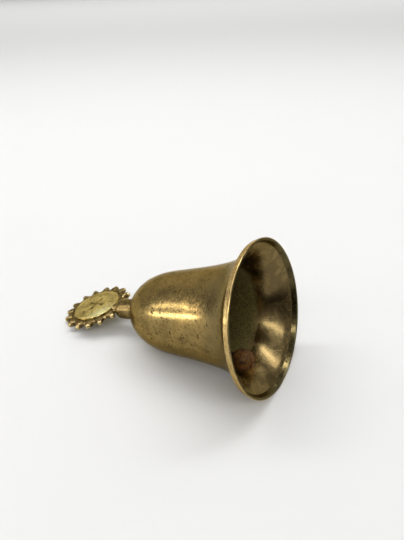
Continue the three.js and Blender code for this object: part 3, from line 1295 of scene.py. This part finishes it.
def makeWasher(material):
    foot = ironwork["washerTop"] - ironwork["washerThickness"]
    outline = filleted([
        (ironwork["washerTop"], bell["bore"], 0.1),
        (ironwork["washerTop"], ironwork["washerRadius"], 0.15),
        (foot, ironwork["washerRadius"], 0.25),
        (foot, bell["bore"], 0.1),
    ])
    piece = turnedPiece("crownWasher", outline, material, 96, 0.08 * mm, 3 * mm)
    finished(piece, hangMatrix, "bell", "dark_iron", "crown_washer")


def makeNut(material):
    foot = ironwork["nutTop"] - ironwork["nutThickness"]
    flatRadius = ironwork["nutRadius"] * cos(pi / 6)
    outline = [
        (ironwork["nutTop"], bell["bore"]),
        (ironwork["nutTop"], flatRadius),
        (ironwork["nutTop"] - ironwork["nutChamfer"], ironwork["nutRadius"]),
        (foot + ironwork["nutChamfer"], ironwork["nutRadius"]),
        (foot, flatRadius),
        (foot, bell["bore"]),
    ]
    piece = turnedPiece("crownNut", outline, material, 96)
    for vertex in piece.data.vertices:
        around = atan2(vertex.co.z, vertex.co.y)
        radius = hypot(vertex.co.y, vertex.co.z)
        fold = (around + pi / 6) % (pi / 3) - pi / 6
        limit = flatRadius * mm / cos(pi / 6 - abs(fold))
        if radius > limit:
            vertex.co.y *= limit / radius
            vertex.co.z *= limit / radius
    smoothShaded(piece, radians(20))
    finished(piece, hangMatrix, "bell", "dark_iron", "crown_nut")


darkIron = rustyIron("darkIron", hangMatrix, darkIronLook)
makeEyebolt(darkIron)
makeWasher(darkIron)
makeNut(darkIron)


# the clapper

clapper = {
    "loopRadius": 2.4,
    "loopWire": 0.8,
    "rodRadius": 1.1,
    "ballRadius": 5.8,
    "ballStation": 11,
    "tailRadius": 1.9,
    "tailLength": 0.8,
    "gap": 0.3,
    "voxel": 0.16 * mm,
}

rustLook = {
    **darkIronLook,
    "patchSize": 3.2 * mm,
    "bare": 0.36,
    "iron": (0.04, 0.03, 0.02),
    "ironRoughness": 0.36,
    "rust": ((0.04, 0.018, 0.005), (0.23, 0.098, 0.018)),
    "crustDepth": 0.22 * mm,
    "grainDepth": 0.05 * mm,
}

slopeAngle = atan(
    bell["waistTaper"]
    + bell["flareSize"] / bell["flareLength"] * exp(-clapper["ballStation"] / bell["flareLength"])
)
ballReach = flareRadius(clapper["ballStation"]) - bell["wall"]
ballReach -= (clapper["ballRadius"] + clapper["gap"]) / cos(slopeAngle)
ballDrop = bellPlace["hingeStation"] / mm - clapper["ballStation"]
ballDistance = hypot(ballDrop, ballReach)
clapperMatrix = (
    hangMatrix
    @ Matrix.Translation((-bellPlace["hingeStation"], 0, 0))
    @ Matrix.Rotation(atan2(ballReach, ballDrop), 4, "Y")
)


def makeRod(material):
    loop = ringPiece("loop", clapper["loopRadius"], clapper["loopWire"], clapper["loopWire"], material)
    tipped(loop, pi / 2, "Z")
    bore = clapper["rodRadius"] + clapper["gap"]
    seat = ballDistance + sqrt(clapper["ballRadius"] ** 2 - bore ** 2) + clapper["gap"]
    rod = turnedPiece("rod", filleted([
        (-clapper["loopRadius"], 0),
        (-clapper["loopRadius"], 0.9, 0.3),
        (-(clapper["loopRadius"] + 12), 0.95, 4),
        (-(ballDistance - 9), clapper["rodRadius"], 4),
        (-(seat - 0.3), clapper["rodRadius"], 0.2),
        (-seat, clapper["tailRadius"], 0.3),
        (-(seat + 0.75), clapper["tailRadius"] * 0.75, 0.5),
        (-(seat + clapper["tailLength"]), 0),
    ]), material, 48, 0.25 * mm, 3 * mm, closed=False)
    piece = weldedPiece("clapperRod", [loop, rod], material, clapper["voxel"])
    finished(piece, clapperMatrix, "clapper", "rusty_iron", "clapper_rod")


def makeBall(material):
    bore = clapper["rodRadius"] + clapper["gap"]
    first = asin(bore / clapper["ballRadius"])
    outline = []
    steps = 72
    for i in range(steps + 1):
        angle = first + (pi - 2 * first) * i / steps
        radius = clapper["ballRadius"] * sin(angle)
        outline.append((clapper["ballRadius"] * cos(angle) - ballDistance, radius))
    piece = turnedPiece("clapperBall", outline, material, 128, 0.5 * mm, 2.2 * mm, 6.0)
    finished(piece, clapperMatrix, "clapper", "rusty_iron", "clapper_ball")


rust = rustyIron("rust", clapperMatrix, rustLook)
makeRod(rust)
makeBall(rust)
